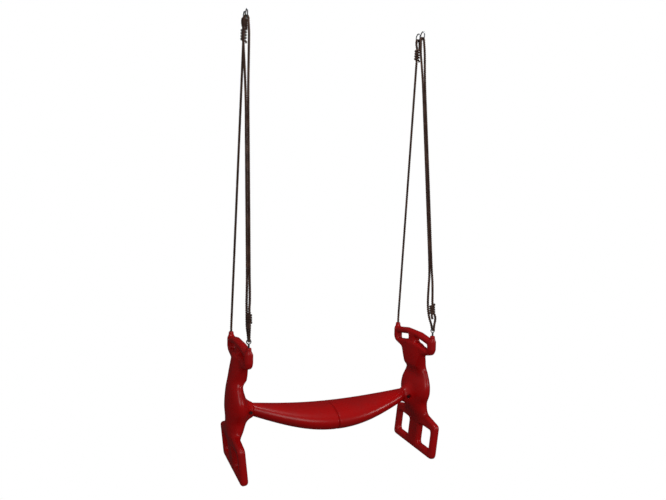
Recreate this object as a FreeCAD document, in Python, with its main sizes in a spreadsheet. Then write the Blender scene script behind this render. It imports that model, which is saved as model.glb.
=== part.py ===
"""Two-seat glider swing: a crescent seat beam between two end supports, hung on four ropes.

Row frame: millimetres, +Z up, X along the seat, origin midway between the two pairs of hanging
rings, at the height where the rings bear on their hooks. Heights named "drop" are measured down
from the horn tops, and "below the line" means below the origin.
"""
import FreeCAD, Part
import math
import os
import re

import Sketcher

doc = FreeCAD.newDocument("glider_swing")
Vector = FreeCAD.Vector
NODES = {}

# ---------------------------------------------------------------- driving dimensions
SIZES = {
    # hanging line
    "hook_half_span": 397, "hook_half_gap": 20.5, "ring_outer": 40, "ring_wire": 5,
    # ropes
    "rope_dia": 9, "ring_clearance": 0.8, "knot_dia": 27.4,
    "far_knot_start": 28, "far_knot_length": 54,
    "near_knot_offset": 1, "near_knot_start": 62, "near_knot_length": 44,
    # horns and what is fixed in them
    "support_half_span": 410, "horn_half_gap": 166, "horn_drop": 1333,
    "horn_dia": 22, "horn_length": 60, "pocket_dia": 18, "pocket_drop": 40,
    "rope_hole_clearance": 0.4, "bolt_clearance": 0.6,
    "eye_height": 24, "eye_inner": 13, "eye_wire": 4.5, "shank_dia": 8, "shank_drop": 52,
    "stopper_dia": 17, "stopper_length": 22,
    # T handle
    "handle_shift": -1, "handle_thickness": 34, "handle_edge_radius": 10,
    "bar_crown_drop": 5, "bar_end_drop": 22, "handle_half_width": 176,
    "wing_drop": 85, "wing_root": 98, "wing_root_drop": 103, "web_half_width": 60,
    "slot_start": 31, "slot_end": 143, "slot_drop": 30, "slot_fall": 15, "slot_height": 26,
    "slot_corner": 8,
    # foot plate
    "foot_shift": 30, "foot_drop": 392, "foot_tilt": 6.3, "foot_thickness": 32,
    "foot_edge_radius": 13, "foot_half_width": 183, "foot_corner": 24,
    "foot_shoulder": 12, "foot_height": 165,
    "window_start": 46, "window_end": 150, "window_top": 44, "window_bottom": 131,
    "window_corner": 14,
    # collar and socket
    "support_wall": 4, "seat_axis_drop": 304.5, "collar_reach": 58, "collar_dia": 64,
    "collar_root_shift": 5, "collar_root_dia": 116, "socket_clearance": 0.4, "socket_gap": 10,
    "socket_wall": 4, "spot_face_dia": 22, "spot_face_half": 37,
    # seat
    "seat_wall": 4, "seat_mid_width": 240, "seat_mid_top": 311, "seat_mid_bottom": 413,
    "seat_end_width": 67, "seat_end_top": 277, "seat_end_bottom": 332, "seam_groove": 5,
    "spigot_dia": 46, "spigot_gap": 13,
    # spine tube
    "spine_dia": 27, "spine_wall": 2, "spine_sag": 42, "spine_gap": 20,
    "spine_clearance": 0.3, "spine_sleeve": 3,
    # fasteners, metric coarse
    "bolt_reach": 43, "bolt_dia": 8, "bolt_half_length": 47,
    "washer_dia": 17, "washer_thickness": 1.6, "nut_corners": 15, "nut_height": 6.5,
    "head_height": 5.3,
}

# sizes that follow from others: what is fixed to the supports keeps its distance from them
DERIVED = {
    "collar_face": "($support_half_span - $collar_reach)",
    "collar_root": "($support_half_span + $collar_root_shift)",
    "socket_end": "($support_half_span - $socket_gap)",
    "spigot_end": "($support_half_span - $spigot_gap)",
    "spine_half_length": "($support_half_span - $spine_gap)",
    "bolt_x": "($support_half_span - $bolt_reach)",
    "socket_dia": "($spigot_dia + $socket_clearance)",
    "rope_hole_dia": "($rope_dia + $rope_hole_clearance)",
    "shank_hole_dia": "($shank_dia + $bolt_clearance)",
    "bolt_hole_dia": "($bolt_dia + $bolt_clearance)",
}

# column sections: drop, outward shift from the horn line, half depth along X, half width along Y
COLUMN = [
    (72, 3, 20, 50),
    (102, 6, 25, 60),
    (132, 10, 28, 68),
    (167, 16, 29.5, 68),
    (200, 19, 30.5, 86),
    (246, 15, 38, 109),
    (290, 12, 44, 107),
    (335, 14, 40, 83),
    (380, 20, 33, 83),
    (424, 24, 15, 70),
]
COLUMN_WORDS = ("drop", "shift", "half_depth", "half_width")

sheet = doc.addObject("Spreadsheet::Sheet", "Sizes")


def fill_sheet():
    """Write every driving dimension into the sheet as a plain number with an alias."""
    values = dict(SIZES)
    for number, section in enumerate(COLUMN):
        for word, value in zip(COLUMN_WORDS, section):
            values["column_" + "abcdefghij"[number] + "_" + word] = value
    for row, (alias, value) in enumerate(values.items(), start=1):
        sheet.set("A%d" % row, alias)
        sheet.set("B%d" % row, str(value))
        sheet.setAlias("B%d" % row, alias)
    doc.recompute()


def size(alias):
    """Return a driving dimension from the sheet."""
    return float(sheet.get(alias))


def formula(text):
    """Turn $alias into a reference to the sheet, or into what a derived size stands for."""
    text = re.sub(r"\$(\w+)", lambda found: DERIVED.get(found[1], found[0]), str(text))
    return text.replace("$", "Sizes.")


def bind(thing, **formulas):
    """Bind properties to the sheet."""
    for name, text in formulas.items():
        thing.setExpression(name, formula(text))
    return thing


def place(thing, at, axis=(0, 0, 1), angle=0):
    """Turn a thing by a fixed angle and bind its position to the sheet."""
    thing.Placement = FreeCAD.Placement(Vector(0, 0, 0), FreeCAD.Rotation(Vector(*axis), angle))
    for letter, text in zip("xyz", at):
        thing.setExpression("Placement.Base." + letter, formula(text))
    return thing


def add(kind, name, **formulas):
    return bind(doc.addObject("Part::" + kind, name), **formulas)


def cut(name, base, tool):
    thing = doc.addObject("Part::Cut", name)
    thing.Base = base
    thing.Tool = tool
    return thing


def fuse(name, *things):
    thing = doc.addObject("Part::MultiFuse", name)
    thing.Shapes = list(things)
    return thing


def common(name, base, tool):
    thing = doc.addObject("Part::Common", name)
    thing.Base = base
    thing.Tool = tool
    return thing


def group(name, *things):
    thing = doc.addObject("Part::Compound", name)
    thing.Links = list(things)
    return thing


def node(label, thing):
    """Name a finished sub-part."""
    thing.Label = label
    NODES[label] = thing
    return thing


def mirrored(label, source):
    """The left-hand copy of a right-hand sub-part, mirrored across the middle of the seat."""
    copy = doc.addObject("Part::Mirroring", label)
    copy.Source = source
    copy.Normal = Vector(1, 0, 0)
    return node(label, copy)


def along_x(kind, name, at, **formulas):
    return place(add(kind, name, **formulas), at, (0, 1, 0), 90)


def along_y(kind, name, at, **formulas):
    return place(add(kind, name, **formulas), at, (1, 0, 0), -90)


# ---------------------------------------------------------------- outlines in a sketch
def rounded_outline(sketch, corners):
    """Draw a closed outline of lines and tangent arcs, each corner bound to the sheet.

    corners is a list of (y, z, radius) formulas, in order round the outline.
    """
    points = []
    radii = []
    for across, up, radius in corners:
        points.append(Vector(float(sketch.evalExpression(formula(across))),
                             float(sketch.evalExpression(formula(up))), 0))
        radii.append(float(sketch.evalExpression(formula(radius))))
    count = len(points)
    ends = []
    for index in range(count):
        corner = points[index]
        back = (points[index - 1] - corner).normalize()
        ahead = (points[(index + 1) % count] - corner).normalize()
        half = back.getAngle(ahead) / 2
        reach = radii[index] / math.tan(half)
        centre = corner + (back + ahead).normalize() * (radii[index] / math.sin(half))
        ends.append((corner + back * reach, corner + ahead * reach, centre))
    lines = []
    for index in range(count):
        start = ends[index][1]
        stop = ends[(index + 1) % count][0]
        lines.append(sketch.addGeometry(Part.LineSegment(start, stop), False))
    for index, (into, out, centre) in enumerate(ends):
        turns_left = (into - centre).cross(out - centre).z > 0
        first, last = (into, out) if turns_left else (out, into)
        angles = [math.atan2((end - centre).y, (end - centre).x) for end in (first, last)]
        circle = Part.Circle(centre, Vector(0, 0, 1), radii[index])
        arc = sketch.addGeometry(Part.ArcOfCircle(circle, *angles), False)
        arriving = lines[index - 1]
        leaving = lines[index]
        arc_in, arc_out = (1, 2) if turns_left else (2, 1)
        sketch.addConstraint(Sketcher.Constraint("Tangent", arriving, 2, arc, arc_in))
        sketch.addConstraint(Sketcher.Constraint("Tangent", leaving, 1, arc, arc_out))
        corner = sketch.addGeometry(Part.Point(points[index]), True)
        sketch.addConstraint(Sketcher.Constraint("PointOnObject", corner, 1, arriving))
        sketch.addConstraint(Sketcher.Constraint("PointOnObject", corner, 1, leaving))
        across, up, radius = corners[index]
        for kind, text, value in (("DistanceX", across, points[index].x),
                                  ("DistanceY", up, points[index].y)):
            number = sketch.addConstraint(Sketcher.Constraint(kind, -1, 1, corner, 1, value))
            sketch.setExpression("Constraints[%d]" % number, formula(text))
        number = sketch.addConstraint(Sketcher.Constraint("Radius", arc, radii[index]))
        sketch.setExpression("Constraints[%d]" % number, formula(radius))


def both_sides(half):
    """Mirror a half outline, given from the middle outwards and round to the middle again."""
    other = [("-(%s)" % across, up, radius) for across, up, radius in reversed(half)]
    return half + other


def plate(name, outlines, thickness, edge_radius):
    """A plate across X with rounded edges: outline first, then its openings."""
    body = doc.addObject("PartDesign::Body", name)
    plane = [item for item in body.Origin.OriginFeatures if item.Role == "YZ_Plane"][0]
    sketch = body.newObject("Sketcher::SketchObject", name + "_outline")
    sketch.AttachmentSupport = [(plane, "")]
    sketch.MapMode = "FlatFace"
    for corners in outlines:
        rounded_outline(sketch, corners)
    pad = body.newObject("PartDesign::Pad", name + "_pad")
    pad.Profile = sketch
    pad.SideType = "Symmetric"
    pad.setExpression("Length", formula(thickness))
    doc.recompute()
    half = float(pad.evalExpression(formula(thickness))) / 2
    rims = []
    for index, edge in enumerate(pad.Shape.Edges, start=1):
        if all(abs(abs(vertex.X) - half) < 1e-4 for vertex in edge.Vertexes):
            if abs(edge.CenterOfMass.x) > half - 1e-4:
                rims.append("Edge%d" % index)
    fillet = body.newObject("PartDesign::Fillet", name + "_edges")
    fillet.Base = (pad, rims)
    fillet.setExpression("Radius", formula(edge_radius))
    body.Tip = fillet
    doc.recompute()
    return body


# ---------------------------------------------------------------- end supports
def handle_plate():
    """The T handle: a crowned bar over two finger slots, and wings that end in the horns."""
    outline = both_sides([
        ("62", "-$bar_crown_drop", "70"),
        ("$handle_half_width", "-$bar_end_drop", "9"),
        ("$handle_half_width", "-$wing_drop", "$foot_corner"),
        ("$wing_root", "-$wing_root_drop", "26"),
        ("$web_half_width", "-$column_d_drop", "12"),
    ])
    slots = []
    for side in (1, -1):
        near, far = "%d*$slot_start" % side, "%d*$slot_end" % side
        slots.append([
            (near, "-$slot_drop", "$slot_corner"),
            (far, "-$slot_drop - $slot_fall", "$slot_corner"),
            (far, "-$slot_drop - $slot_fall - $slot_height", "$slot_corner"),
            (near, "-$slot_drop - $slot_height", "$slot_corner"),
        ])
    body = plate("handle", [outline] + slots, "$handle_thickness", "$handle_edge_radius")
    return place(body, ("$support_half_span + $handle_shift", "0", "-$horn_drop"))


def foot_plate():
    """The foot rest: a flat plate with two windows, its bottom edge tilted towards the seat."""
    outline = both_sides([
        ("64", "14", "20"),
        ("$foot_half_width", "-$foot_shoulder", "$foot_corner"),
        ("$foot_half_width", "-$foot_height", "$foot_corner"),
    ])
    windows = []
    for side in (1, -1):
        near, far = "%d*$window_start" % side, "%d*$window_end" % side
        windows.append([
            (near, "-$window_top", "$window_corner"),
            (far, "-$window_top", "$window_corner"),
            (far, "-$window_bottom", "$window_corner"),
            (near, "-$window_bottom", "$window_corner"),
        ])
    body = plate("foot", [outline] + windows, "$foot_thickness", "$foot_edge_radius")
    place(body, ("$support_half_span + $foot_shift", "0", "-$horn_drop - $foot_drop"),
          (0, 1, 0), size("foot_tilt"))
    body.setExpression("Placement.Rotation.Angle", formula("$foot_tilt"))
    return body


def column_loft(name, letters, wall):
    """The column, or its hollow, through oval sections."""
    loft = doc.addObject("Part::Loft", name)
    sections = []
    for letter in letters:
        word = "$column_%s_" % letter
        oval = add("Ellipse", name + "_" + letter,
                   MajorRadius=word + "half_width - %s" % wall,
                   MinorRadius=word + "half_depth - %s" % wall)
        place(oval, ("$support_half_span + " + word + "shift", "0",
                     "-$horn_drop - " + word + "drop"), (0, 0, 1), 90)
        sections.append(oval)
    loft.Sections = sections
    loft.Solid = True
    loft.Ruled = False
    return loft


def horn(name, side):
    """A round post with a domed top, at the end of a wing."""
    at = ("$support_half_span", "%d*$horn_half_gap" % side)
    post = place(add("Cylinder", name + "_post", Radius="$horn_dia/2",
                     Height="$horn_length - $horn_dia/4"),
                 at + ("-$horn_drop - $horn_length",))
    dome = place(add("Ellipsoid", name + "_dome", Radius1="$horn_dia/4",
                     Radius2="$horn_dia/2", Radius3="$horn_dia/2"),
                 at + ("-$horn_drop - $horn_dia/4",))
    return fuse(name, post, dome)


def horn_cut(name, side, hole):
    """The hole down through a horn, and the pocket under it."""
    at = ("$support_half_span", "%d*$horn_half_gap" % side)
    bore = place(add("Cylinder", name + "_bore", Radius=hole + "/2",
                     Height="$wing_root_drop + 20"),
                 at + ("-$horn_drop - $wing_root_drop",))
    pocket = place(add("Cylinder", name + "_pocket", Radius="$pocket_dia/2",
                       Height="$wing_root_drop - $pocket_drop"),
                   at + ("-$horn_drop - $wing_root_drop",))
    return fuse(name, bore, pocket)


def end_support():
    """One blow-moulded end: handle, column, foot rest and the collar that the seat plugs into."""
    seat_z = "-$horn_drop - $seat_axis_drop"
    collar = along_x("Cone", "collar", ("$collar_face", "0", seat_z),
                     Radius1="$collar_dia/2", Radius2="$collar_root_dia/2",
                     Height="$collar_root - $collar_face")
    outside = fuse("support_outside", column_loft("column", "abcdefghij", 0), handle_plate(),
                   foot_plate(), horn("far_horn", 1), horn("near_horn", -1), collar)
    hollow = cut("support_shell", outside, column_loft("hollow", "cdefghi", "$support_wall"))
    sleeve = along_x("Cylinder", "socket_sleeve", ("$collar_face + 10", "0", seat_z),
                     Radius="$socket_dia/2 + $socket_wall",
                     Height="$socket_end + $socket_wall - $collar_face - 10")
    socket = along_x("Cylinder", "socket", ("$collar_face - 5", "0", seat_z),
                     Radius="$socket_dia/2", Height="$socket_end - $collar_face + 5")
    bolt_hole = along_y("Cylinder", "support_bolt_hole", ("$bolt_x", "-150", seat_z),
                        Radius="$bolt_hole_dia/2", Height="300")
    cuts = [socket, bolt_hole, horn_cut("far_horn_hole", 1, "$rope_hole_dia"),
            horn_cut("near_horn_hole", -1, "$shank_hole_dia")]
    for name, start in (("spot_face_far", "$spot_face_half"),
                        ("spot_face_near", "-$spot_face_half - 60")):
        cuts.append(along_y("Cylinder", name, ("$bolt_x", start, seat_z),
                            Radius="$spot_face_dia/2", Height="60"))
    solid = fuse("support_with_sleeve", hollow, sleeve)
    return node("end_support_right", cut("support", solid, fuse("support_cuts", *cuts)))


# ---------------------------------------------------------------- seat
def seat_oval(name, at_x, width, top, bottom, wall):
    """One oval section of the seat, standing across it."""
    oval = add("Ellipse", name, MajorRadius="%s / 2 - %s" % (width, wall),
               MinorRadius="(%s - %s) / 2 - %s" % (bottom, top, wall))
    return place(oval, (at_x, "0", "-$horn_drop - (%s + %s) / 2" % (top, bottom)),
                 (1, 1, 1), 120)


def loft(name, sections, ruled=False):
    thing = doc.addObject("Part::Loft", name)
    thing.Sections = sections
    thing.Solid = True
    thing.Ruled = ruled
    return thing


def seat_loft(name, wall, begin, end):
    """Half the crescent seat, or its hollow, through oval sections from the seam outwards."""
    sections = []
    for number in range(5):
        share = "%s/4" % number
        rise = "cos(90deg * %s * %s / $collar_face)" % (share, end)
        at_x = "%s * (1 - %s) + %s * %s" % (begin, share, end, share)
        top = "($seat_end_top + ($seat_mid_top - $seat_end_top) * %s)" % rise
        bottom = "($seat_end_bottom + ($seat_mid_bottom - $seat_end_bottom) * %s)" % rise
        width = "($seat_end_width + ($seat_mid_width - $seat_end_width) * %s)" % rise
        sections.append(seat_oval("%s_%d" % (name, number), at_x, width, top, bottom, wall))
    return loft(name, sections)


def seam_lip():
    """The sloping edge at the seam; two of these make the groove across the seat."""
    mid = ("$seat_mid_width", "$seat_mid_top", "$seat_mid_bottom")
    return loft("seam_lip", [seat_oval("lip_small", "0", *mid, "$seam_groove"),
                             seat_oval("lip_large", "$seam_groove", *mid, "0")], True)


def spine_ring(name, radius):
    """A full ring whose lowest stretch is the bent line of the spine tube."""
    bend = "(($bolt_x^2 + $spine_sag^2) / (2 * $spine_sag))"
    ring = add("Torus", name, Radius1=bend, Radius2=radius)
    centre = "-$horn_drop - $seat_axis_drop - $spine_sag + " + bend
    return place(ring, ("0", "0", centre), (1, 0, 0), 90)


def seat_half():
    """One hollow half of the seat, with its spigot and the sleeve that the spine slides in."""
    seat_z = "-$horn_drop - $seat_axis_drop"
    skin = seat_loft("seat_skin", "0", "$seam_groove", "$collar_face")
    groove = fuse("seat_grooved", skin, seam_lip())
    spigot = along_x("Cylinder", "spigot", ("$collar_face - 12", "0", seat_z),
                     Radius="$spigot_dia/2", Height="$spigot_end - $collar_face + 12")
    outside = fuse("seat_outside", groove, spigot)
    shell = cut("seat_shell", outside,
                seat_loft("seat_hollow", "$seat_wall", "$seat_wall", "($collar_face - 30)"))
    sleeve = common("seat_sleeve", outside,
                    spine_ring("sleeve_ring",
                               "$spine_dia/2 + $spine_clearance + $spine_sleeve"))
    bolt_hole = along_y("Cylinder", "seat_bolt_hole", ("$bolt_x", "-100", seat_z),
                        Radius="$bolt_hole_dia/2", Height="200")
    cuts = fuse("seat_cuts", spine_ring("spine_bore", "$spine_dia/2 + $spine_clearance"),
                bolt_hole)
    half = cut("seat_half", fuse("seat_with_sleeve", shell, sleeve), cuts)
    return node("seat_half_right", half)


def spine():
    """The bent steel tube inside both seat halves and both collars."""
    tube = cut("spine_full", spine_ring("spine_outer", "$spine_dia/2"),
               spine_ring("spine_inner", "$spine_dia/2 - $spine_wall"))
    stretch = place(add("Box", "spine_stretch", Length="2*$spine_half_length", Width="200",
                        Height="400"),
                    ("-$spine_half_length", "-100", "-$horn_drop - $seat_axis_drop - 200"))
    length = common("spine_length", tube, stretch)
    holes = []
    for side in (1, -1):
        holes.append(along_y("Cylinder", "spine_hole_%s" % ("right" if side > 0 else "left"),
                             ("%d*$bolt_x" % side, "-50", "-$horn_drop - $seat_axis_drop"),
                             Radius="$bolt_hole_dia/2", Height="100"))
    return node("seat_spine_tube", cut("spine", length, fuse("spine_holes", *holes)))


# ---------------------------------------------------------------- fasteners
def washer(name, at, hole, axis=along_y):
    disc = axis("Cylinder", name + "_disc", at, Radius="$washer_dia/2",
                Height="$washer_thickness")
    bore = axis("Cylinder", name + "_bore", at, Radius=hole + "/2",
                Height="$washer_thickness")
    return cut(name, disc, bore)


def upright(kind, name, at, **formulas):
    return place(add(kind, name, **formulas), at)


def nut(name, at, hole, axis=along_y):
    body = axis("Prism", name + "_hexagon", at, Circumradius="$nut_corners/2",
                Height="$nut_height")
    body.Polygon = 6
    bore = axis("Cylinder", name + "_bore", at, Radius=hole + "/2", Height="$nut_height")
    return cut(name, body, bore)


def collar_fasteners():
    """A bolt, two washers and a nut across each collar."""
    bolts = []
    washers = []
    nuts = []
    seat_z = "-$horn_drop - $seat_axis_drop"
    for side, word in ((1, "right"), (-1, "left")):
        across = "%d*$bolt_x" % side
        shank = along_y("Cylinder", "bolt_shank_" + word,
                        (across, "-$spot_face_half - $washer_thickness", seat_z),
                        Radius="$bolt_dia/2",
                        Height="$spot_face_half + $washer_thickness + $bolt_half_length")
        head = along_y("Prism", "bolt_head_" + word,
                       (across, "-$spot_face_half - $washer_thickness - $head_height", seat_z),
                       Circumradius="$nut_corners/2", Height="$head_height")
        head.Polygon = 6
        bolts.append(fuse("bolt_" + word, shank, head))
        washers.append(washer("near_washer_" + word,
                              (across, "-$spot_face_half - $washer_thickness", seat_z),
                              "$bolt_dia"))
        washers.append(washer("far_washer_" + word, (across, "$spot_face_half", seat_z),
                              "$bolt_dia"))
        nuts.append(nut("nut_" + word,
                        (across, "$spot_face_half + $washer_thickness", seat_z), "$bolt_dia"))
    node("collar_bolts", group("collar_bolt_group", *bolts))
    node("collar_washers", group("collar_washer_group", *washers))
    node("collar_nuts", group("collar_nut_group", *nuts))


def eye_bolt():
    """The ring and shank that the near rope is tied to."""
    at = ("$support_half_span", "-$horn_half_gap")
    middle = "($eye_inner/2 + $eye_wire/2)"
    ring = place(add("Torus", "eye_ring", Radius1=middle, Radius2="$eye_wire/2"),
                 at + ("-$horn_drop + $eye_height",), (1, 0, 0), 90)
    shank = upright("Cylinder", "eye_shank", at + ("-$horn_drop - $shank_drop",),
                    Radius="$shank_dia/2",
                    Height="$shank_drop + $eye_height - $eye_inner/2 - $eye_wire/2")
    return node("eye_bolt_right", fuse("eye_bolt", ring, shank))


def horn_fasteners():
    """In each pocket a washer, with a nut on the eye bolt and a rope knot in the far horn."""
    washers = []
    nuts = []
    for side, word in ((1, "right"), (-1, "left")):
        across = "%d*$support_half_span" % side
        seat = "-$horn_drop - $pocket_drop - $washer_thickness"
        washers.append(washer("near_horn_washer_" + word, (across, "-$horn_half_gap", seat),
                              "$shank_dia", upright))
        washers.append(washer("far_horn_washer_" + word, (across, "$horn_half_gap", seat),
                              "$rope_dia", upright))
        nuts.append(nut("eye_nut_" + word, (across, "-$horn_half_gap", seat + " - $nut_height"),
                        "$shank_dia", upright))
    node("horn_washers", group("horn_washer_group", *washers))
    node("eye_bolt_nuts", group("eye_nut_group", *nuts))


def hanging_rings():
    """Four welded wire rings, side by side in pairs, each on its own hook."""
    for side, word in ((1, "right"), (-1, "left")):
        for gap, place_word in ((1, "far"), (-1, "near")):
            label = "hanging_ring_%s_%s" % (word, place_word)
            ring = add("Torus", label, Radius1="$ring_outer/2 - $ring_wire/2",
                       Radius2="$ring_wire/2")
            node(label, place(ring, ("%d*$hook_half_span" % side, "%d*$hook_half_gap" % gap,
                                     "$ring_wire - $ring_outer/2"), (0, 1, 0), 90))


# ---------------------------------------------------------------- ropes
def tube(name, points):
    """A rope's round tube along straight runs joined by tangent arcs."""
    radius = size("rope_dia") / 2
    runs = [(points[i + 1] - points[i]).Length for i in range(len(points) - 1)]
    edges = []
    start = points[0]
    bends = []
    for index in range(1, len(points) - 1):
        corner = points[index]
        back = (points[index - 1] - corner).normalize()
        ahead = (points[index + 1] - corner).normalize()
        turn = math.pi - back.getAngle(ahead)
        reach = 0.45 * min(runs[index - 1], runs[index])
        bend = reach / math.tan(turn / 2)
        inward = (back + ahead).normalize()
        middle = corner + inward * (bend / math.cos(turn / 2) - bend)
        first = corner + back * reach
        last = corner + ahead * reach
        edges.append(Part.LineSegment(start, first).toShape())
        edges.append(Part.Arc(first, middle, last).toShape())
        bends.append(bend)
        start = last
    edges.append(Part.LineSegment(start, points[-1]).toShape())
    path = Part.Wire(edges)
    circle = Part.Circle(points[0], points[1] - points[0], radius)
    shape = path.makePipeShell([Part.Wire(circle.toShape())], True, False)
    expected = math.pi * radius ** 2 * path.Length
    tightest = min(bends) if bends else 0
    print("%-26s length %7.1f mm, tightest bend %5.1f mm, volume ratio %.4f"
          % (name, path.Length, tightest, shape.Volume / expected))
    thing = doc.addObject("Part::Feature", name)
    thing.Shape = shape
    return thing


def rope_ends(side):
    """Where the ropes turn: round the rings' lowest wire, and in and above the horns."""
    ring_wire_z = 1.5 * size("ring_wire") - size("ring_outer")
    far_top = Vector(side * size("hook_half_span"), size("hook_half_gap"), ring_wire_z)
    near_top = Vector(side * size("hook_half_span"), -size("hook_half_gap"), ring_wire_z)
    eye_z = size("eye_height") - size("horn_drop")
    far_foot = Vector(side * size("support_half_span"), size("horn_half_gap"), eye_z)
    eye_wire_z = eye_z + (size("eye_inner") + size("eye_wire")) / 2
    near_foot = Vector(side * size("support_half_span"), -size("horn_half_gap"), eye_wire_z)
    return far_top, near_top, far_foot, near_foot


def knot(label, start, direction, length):
    """The wrapped turns of a knot, as one round solid."""
    radius = size("knot_dia") / 2
    thing = doc.addObject("Part::Feature", label)
    thing.Shape = Part.makeCylinder(radius, length, start, direction)
    return node(label, thing)


def far_rope(side, word):
    """Single rope from the far horn up to its ring, closed in an eye by a wrapped knot."""
    top, _, foot, _ = rope_ends(side)
    along = (top - foot).normalize()
    knot_top = top - along * size("far_knot_start")
    knot_foot = knot_top - along * size("far_knot_length")
    radius = size("rope_dia") / 2
    rope = doc.addObject("Part::Feature", "rope_far_" + word)
    straight = Part.makeCylinder(radius, (knot_foot - foot).Length, foot, along)
    rope.Shape = straight.fuse(Part.makeSphere(radius, foot)).removeSplitter()
    print("%-26s length %7.1f mm, straight" % (rope.Name, (knot_foot - foot).Length))
    node(rope.Name, rope)
    knot("rope_far_%s_knot" % word, knot_foot, along, size("far_knot_length"))
    gap = size("ring_wire") / 2 + size("ring_clearance") + radius
    rise = size("far_knot_start") + gap
    beside = radius + 0.2
    route = [(-beside, 0.4), (-beside, 7), (-gap, 20), (-gap, rise),
             (gap, rise), (gap, 20), (beside, 7), (beside, 0.4)]
    points = [knot_top + Vector(across, 0, 0) + along * up for across, up in route]
    name = "rope_far_%s_eye" % word
    node(name, tube(name, points))


# the doubled near ropes: offset along X, offset along Y, height above the eye bolt's ring wire
NEAR_ROUTE = {
    "right": [
        (3, 0, 61.4), (3, 0, 58), (5, -1, 53), (11, -5, 36), (3, -7.05, 14), (0, -7.05, -7.05),
        (0, 7.05, -7.05), (-2, 7.05, 15), (-14, 3, 44), (-20.5, 0, 80), (-19.5, 0, 125),
        (-13, 0, 185), (-5.2, 0, 250), (-4.4, 1.5, 430), (-5.6, -1, 680), (-4.8, 1, 910),
        (-5.2, 0, 1080), (-8, 0, 1160), (-11.5, 0, 1215), (-7.8, 0, 1258), (-7.8, 0, 1284.8),
        (7.8, 0, 1284.8), (7.8, 0, 1263), (9.5, 0, 1225), (7.5, 0, 1165),
        (4.6, 0, 1080), (5.4, 1, 910), (4.6, -1, 680), (5.8, 1.5, 430), (4.6, 0, 255),
        (7, 0, 205), (5, 0, 150), (3, 0, 122), (3.2, 0.4, 114), (3, 0, 106.4),
    ],
    "left": [
        (3, 0, 61.4), (3, 0, 58), (5, -1, 53), (9, -5, 36), (3, -7.05, 14), (0, -7.05, -7.05),
        (0, 7.05, -7.05), (-1, 7.6, 15), (-3, 14, 38), (-3.5, 18.3, 58), (-3.5, 18.3, 108),
        (-5, 13, 142), (-5.5, 5, 182), (-5, 0, 245), (-4.6, 1.5, 420), (-5.4, -1, 640), (-5, 1, 820),
        (-5, 0, 930), (-6.5, 0, 1010), (-10, 0, 1100), (-14, 0, 1185), (-11, 0, 1240),
        (-7.8, 0, 1264), (-7.8, 0, 1284.8), (7.8, 0, 1284.8), (7.8, 0, 1264), (10, 0, 1228),
        (9.5, 0, 1180), (7.2, 0, 1095), (5.5, 0, 1010),
        (4.6, 0, 930), (5, 1, 820), (4.6, -1, 640), (5.4, 1.5, 420), (4.6, 0, 245),
        (5.5, 0, 190), (5, 0, 145), (3, 0, 122), (3.2, 0.4, 114), (3, 0, 106.4),
    ],
}
TAIL_ROUTE = [(-6.3, 0, 61.4), (-6.3, 0, 57), (-5.5, -3.5, 50), (-3.5, -7, 42)]


def near_rope(side, word):
    """Doubled rope between the near ring and the eye bolt, closed by a sliding wrapped knot."""
    _, top, _, foot = rope_ends(side)
    along = (top - foot).normalize()

    def spot(point):
        across, aside, up = point
        return foot + Vector(across, aside, 0) + along * up

    name = "rope_near_" + word
    node(name, tube(name, [spot(point) for point in NEAR_ROUTE[word]]))
    name = "rope_near_%s_tail" % word
    node(name, tube(name, [spot(point) for point in TAIL_ROUTE]))
    start = spot((size("near_knot_offset"), 0, size("near_knot_start")))
    knot("rope_near_%s_knot" % word, start, along, size("near_knot_length"))


def rope_foot(side, word):
    """The end of the far rope that stays in the horn, and the knot that stops it."""
    at = ("%d*$support_half_span" % side, "$horn_half_gap")
    seat = "-$horn_drop - $pocket_drop - $washer_thickness"
    stub = upright("Cylinder", "rope_stub_" + word, at + (seat,), Radius="$rope_dia/2",
                   Height="$pocket_drop + $washer_thickness + $eye_height - $rope_dia/2 - 0.3")
    node("rope_far_%s_foot" % word, stub)
    stopper = upright("Cylinder", "stopper_" + word, at + (seat + " - $stopper_length",),
                      Radius="$stopper_dia/2", Height="$stopper_length")
    node("rope_far_%s_stopper" % word, stopper)


# ---------------------------------------------------------------- build, check and export
def build():
    fill_sheet()
    mirrored("end_support_left", end_support())
    mirrored("seat_half_left", seat_half())
    spine()
    collar_fasteners()
    mirrored("eye_bolt_left", eye_bolt())
    horn_fasteners()
    hanging_rings()
    for side, word in ((1, "right"), (-1, "left")):
        far_rope(side, word)
        near_rope(side, word)
        rope_foot(side, word)
    doc.recompute()


def check():
    """Stop if any object failed or any sub-part has no valid shape."""
    for thing in doc.Objects:
        if "Invalid" in thing.State or "Error" in thing.State:
            raise RuntimeError("%s is in state %s" % (thing.Name, thing.State))
    for label, thing in NODES.items():
        if thing.Shape.isNull() or not thing.Shape.isValid():
            raise RuntimeError("%s has no valid shape" % label)


def export():
    os.makedirs("parts", exist_ok=True)
    for label, thing in NODES.items():
        thing.Shape.exportStep("parts/%s.step" % label)
        print("%-26s %2d solids, %9.0f mm3" % (label, len(thing.Shape.Solids),
                                               thing.Shape.Volume))


build()
check()
export()
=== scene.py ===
# %% [markdown]
# # A two-seat glider swing
# The swing has a crescent seat beam of two blow-moulded halves. An end support with a T handle
# and a foot rest closes each end of it, and four brown ropes hang everything from wire rings.
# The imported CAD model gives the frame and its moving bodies. This lesson builds the looks
# round that frame: ropes first, then wire, moulded plastic, finishes, and a plain studio.

# %% The frame
import math

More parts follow.
